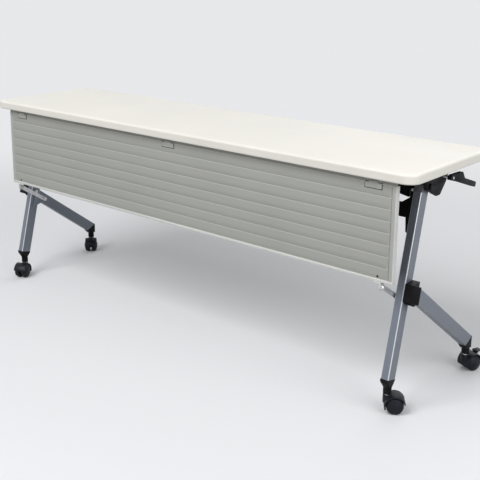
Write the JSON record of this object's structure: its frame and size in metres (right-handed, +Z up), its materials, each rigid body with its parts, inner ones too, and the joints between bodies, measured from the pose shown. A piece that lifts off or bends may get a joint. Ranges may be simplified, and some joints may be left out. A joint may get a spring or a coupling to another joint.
{
  "type": "stacking table",
  "caption": "Long flip-top nesting table on twin-wheel casters, with release levers, a hinged modesty panel and links that swing it as the top tips up.",
  "frame": {"origin": "on the floor, midway between the four caster stems", "axes": "+X along the table's length, to the right seen from the panel side; +Y from the modesty panel to the seat side; +Z up"},
  "size_m": [1.8179, 0.4947, 0.7],
  "materials": {
    "top_laminate": "ivory melamine laminate, fine matt grain",
    "edge_plastic": "ivory moulded edge, matt",
    "silver_tube": "silver metallic paint, satin",
    "black_metal": "black powder coat",
    "black_plastic": "black moulded plastic, fine grain",
    "grey_plastic": "dark grey moulded plastic",
    "caster_plastic": "blue-black nylon",
    "panel_plastic": "grey-green moulded plastic, matt",
    "trim_plastic": "light grey-green plastic",
    "rail_plastic": "off-white plastic",
    "bright_steel": "zinc-plated steel",
    "chrome": "chrome plate",
    "white_nylon": "white nylon"
  },
  "bodies": {
    "frame": {"cross_beam": "black_metal", "caster_stems": "chrome", "joint_bolts": "bright_steel", "link_bolts": "bright_steel", "pivot_bolts": "black_metal", "pivot_bushes": "white_nylon", "beam_end_left": "black_metal", "front_post_left": "silver_tube", "post_head_left": "grey_plastic", "rear_leg_left": "silver_tube", "joint_block_left": "black_plastic", "front_plug_left": "black_plastic", "rear_plug_left": "black_plastic", "link_anchor_left": "bright_steel", "beam_end_right": "black_metal", "front_post_right": "silver_tube", "post_head_right": "grey_plastic", "rear_leg_right": "silver_tube", "joint_block_right": "black_plastic", "front_plug_right": "black_plastic", "rear_plug_right": "black_plastic", "link_anchor_right": "bright_steel"},
    "top": {"top_board": "top_laminate", "edge_band": "edge_plastic", "top_bracket_left": "black_metal", "top_bracket_right": "black_metal", "underside_screws": "bright_steel", "hinge_leaves_top": "trim_plastic"},
    "panel": {"modesty_panel": "panel_plastic", "panel_end_trim_left": "trim_plastic", "panel_end_trim_right": "trim_plastic", "panel_bottom_rail": "rail_plastic", "hinge_leaves_panel": "trim_plastic", "hinge_pins": "bright_steel", "link_bracket_left": "rail_plastic", "link_bracket_right": "rail_plastic"},
    "link_left": {"link_bar_left": "bright_steel"},
    "lever_left": {"release_lever_left": "black_plastic", "lock_hook_left": "bright_steel"},
    "link_right": {"link_bar_right": "bright_steel"},
    "lever_right": {"release_lever_right": "black_plastic", "lock_hook_right": "bright_steel"},
    "caster_front_left": {"caster_hood_front_left": "caster_plastic", "caster_axle_front_left": "bright_steel"},
    "wheel_a_front_left": {"caster_wheel_a_front_left": "caster_plastic"},
    "wheel_b_front_left": {"caster_wheel_b_front_left": "caster_plastic"},
    "caster_front_right": {"caster_hood_front_right": "caster_plastic", "caster_axle_front_right": "bright_steel"},
    "wheel_a_front_right": {"caster_wheel_a_front_right": "caster_plastic"},
    "wheel_b_front_right": {"caster_wheel_b_front_right": "caster_plastic"},
    "caster_rear_left": {"caster_hood_rear_left": "caster_plastic", "caster_axle_rear_left": "bright_steel"},
    "wheel_a_rear_left": {"caster_wheel_a_rear_left": "caster_plastic"},
    "wheel_b_rear_left": {"caster_wheel_b_rear_left": "caster_plastic"},
    "caster_rear_right": {"caster_hood_rear_right": "caster_plastic", "caster_axle_rear_right": "bright_steel"},
    "wheel_a_rear_right": {"caster_wheel_a_rear_right": "caster_plastic"},
    "wheel_b_rear_right": {"caster_wheel_b_rear_right": "caster_plastic"},
    "pedal_rear_left": {"brake_pedal_rear_left": "caster_plastic"},
    "pedal_rear_right": {"brake_pedal_rear_right": "caster_plastic"}
  },
  "joints": [
    {"name": "top_flip", "type": "hinge", "parent": "frame", "child": "top", "pos_m": [0, -0.0565, 0.63], "axis": [1, 0, 0], "range_deg": [0, 70]},
    {"name": "panel_hinge", "type": "hinge", "parent": "top", "child": "panel", "pos_m": [0, -0.2085, 0.663], "axis": [1, 0, 0], "range_deg": [-82, 0]},
    {"name": "link_turn_left", "type": "hinge", "parent": "frame", "child": "link_left", "pos_m": [-0.8085, -0.09701, 0.29697], "axis": [1, 0, 0], "range_deg": [0, 78]},
    {"name": "link_turn_right", "type": "hinge", "parent": "frame", "child": "link_right", "pos_m": [0.8085, -0.09701, 0.29697], "axis": [1, 0, 0], "range_deg": [0, 78]},
    {"name": "lever_lift_left", "type": "hinge", "parent": "top", "child": "lever_left", "pos_m": [-0.87, 0.019, 0.646], "axis": [1, 0, 0], "range_deg": [0, 12], "stiffness_Nm_per_rad": 0.8},
    {"name": "lever_lift_right", "type": "hinge", "parent": "top", "child": "lever_right", "pos_m": [0.87, 0.019, 0.646], "axis": [1, 0, 0], "range_deg": [0, 12], "stiffness_Nm_per_rad": 0.8},
    {"name": "swivel_front_left", "type": "hinge", "parent": "frame", "child": "caster_front_left", "pos_m": [-0.828, -0.191, 0.047], "axis": [0, 0, 1], "continuous": true},
    {"name": "roll_a_front_left", "type": "hinge", "parent": "caster_front_left", "child": "wheel_a_front_left", "pos_m": [-0.81836, -0.21077, 0.025], "axis": [-0.8988, -0.4384, 0], "continuous": true},
    {"name": "roll_b_front_left", "type": "hinge", "parent": "caster_front_left", "child": "wheel_b_front_left", "pos_m": [-0.81836, -0.21077, 0.025], "axis": [-0.8988, -0.4384, 0], "continuous": true},
    {"name": "swivel_front_right", "type": "hinge", "parent": "frame", "child": "caster_front_right", "pos_m": [0.828, -0.191, 0.047], "axis": [0, 0, 1], "continuous": true},
    {"name": "roll_a_front_right", "type": "hinge", "parent": "caster_front_right", "child": "wheel_a_front_right", "pos_m": [0.84602, -0.17838, 0.025], "axis": [0.5736, -0.8192, 0], "continuous": true},
    {"name": "roll_b_front_right", "type": "hinge", "parent": "caster_front_right", "child": "wheel_b_front_right", "pos_m": [0.84602, -0.17838, 0.025], "axis": [0.5736, -0.8192, 0], "continuous": true},
    {"name": "swivel_rear_left", "type": "hinge", "parent": "frame", "child": "caster_rear_left", "pos_m": [-0.876, 0.191, 0.047], "axis": [0, 0, 1], "continuous": true},
    {"name": "roll_a_rear_left", "type": "hinge", "parent": "caster_rear_left", "child": "wheel_a_rear_left", "pos_m": [-0.86018, 0.17572, 0.025], "axis": [-0.6947, -0.7193, 0], "continuous": true},
    {"name": "roll_b_rear_left", "type": "hinge", "parent": "caster_rear_left", "child": "wheel_b_rear_left", "pos_m": [-0.86018, 0.17572, 0.025], "axis": [-0.6947, -0.7193, 0], "continuous": true},
    {"name": "brake_rear_left", "type": "hinge", "parent": "caster_rear_left", "child": "pedal_rear_left", "pos_m": [-0.84759, 0.16356, 0.05531], "axis": [0.6947, 0.7193, 0], "range_deg": [0, 25]},
    {"name": "swivel_rear_right", "type": "hinge", "parent": "frame", "child": "caster_rear_right", "pos_m": [0.876, 0.191, 0.047], "axis": [0, 0, 1], "continuous": true},
    {"name": "roll_a_rear_right", "type": "hinge", "parent": "caster_rear_right", "child": "wheel_a_rear_right", "pos_m": [0.88495, 0.2111, 0.025], "axis": [0.9135, -0.4067, 0], "continuous": true},
    {"name": "roll_b_rear_right", "type": "hinge", "parent": "caster_rear_right", "child": "wheel_b_rear_right", "pos_m": [0.88495, 0.2111, 0.025], "axis": [0.9135, -0.4067, 0], "continuous": true},
    {"name": "brake_rear_right", "type": "hinge", "parent": "caster_rear_right", "child": "pedal_rear_right", "pos_m": [0.89207, 0.22709, 0.05531], "axis": [-0.9135, 0.4067, 0], "range_deg": [0, 25]}
  ],
  "couplings": [
    {"joint": "panel_hinge", "follows": "top_flip", "ratio": -1.162},
    {"joint": "link_turn_left", "follows": "top_flip", "ratio": 1.102},
    {"joint": "link_turn_right", "follows": "top_flip", "ratio": 1.102}
  ]
}
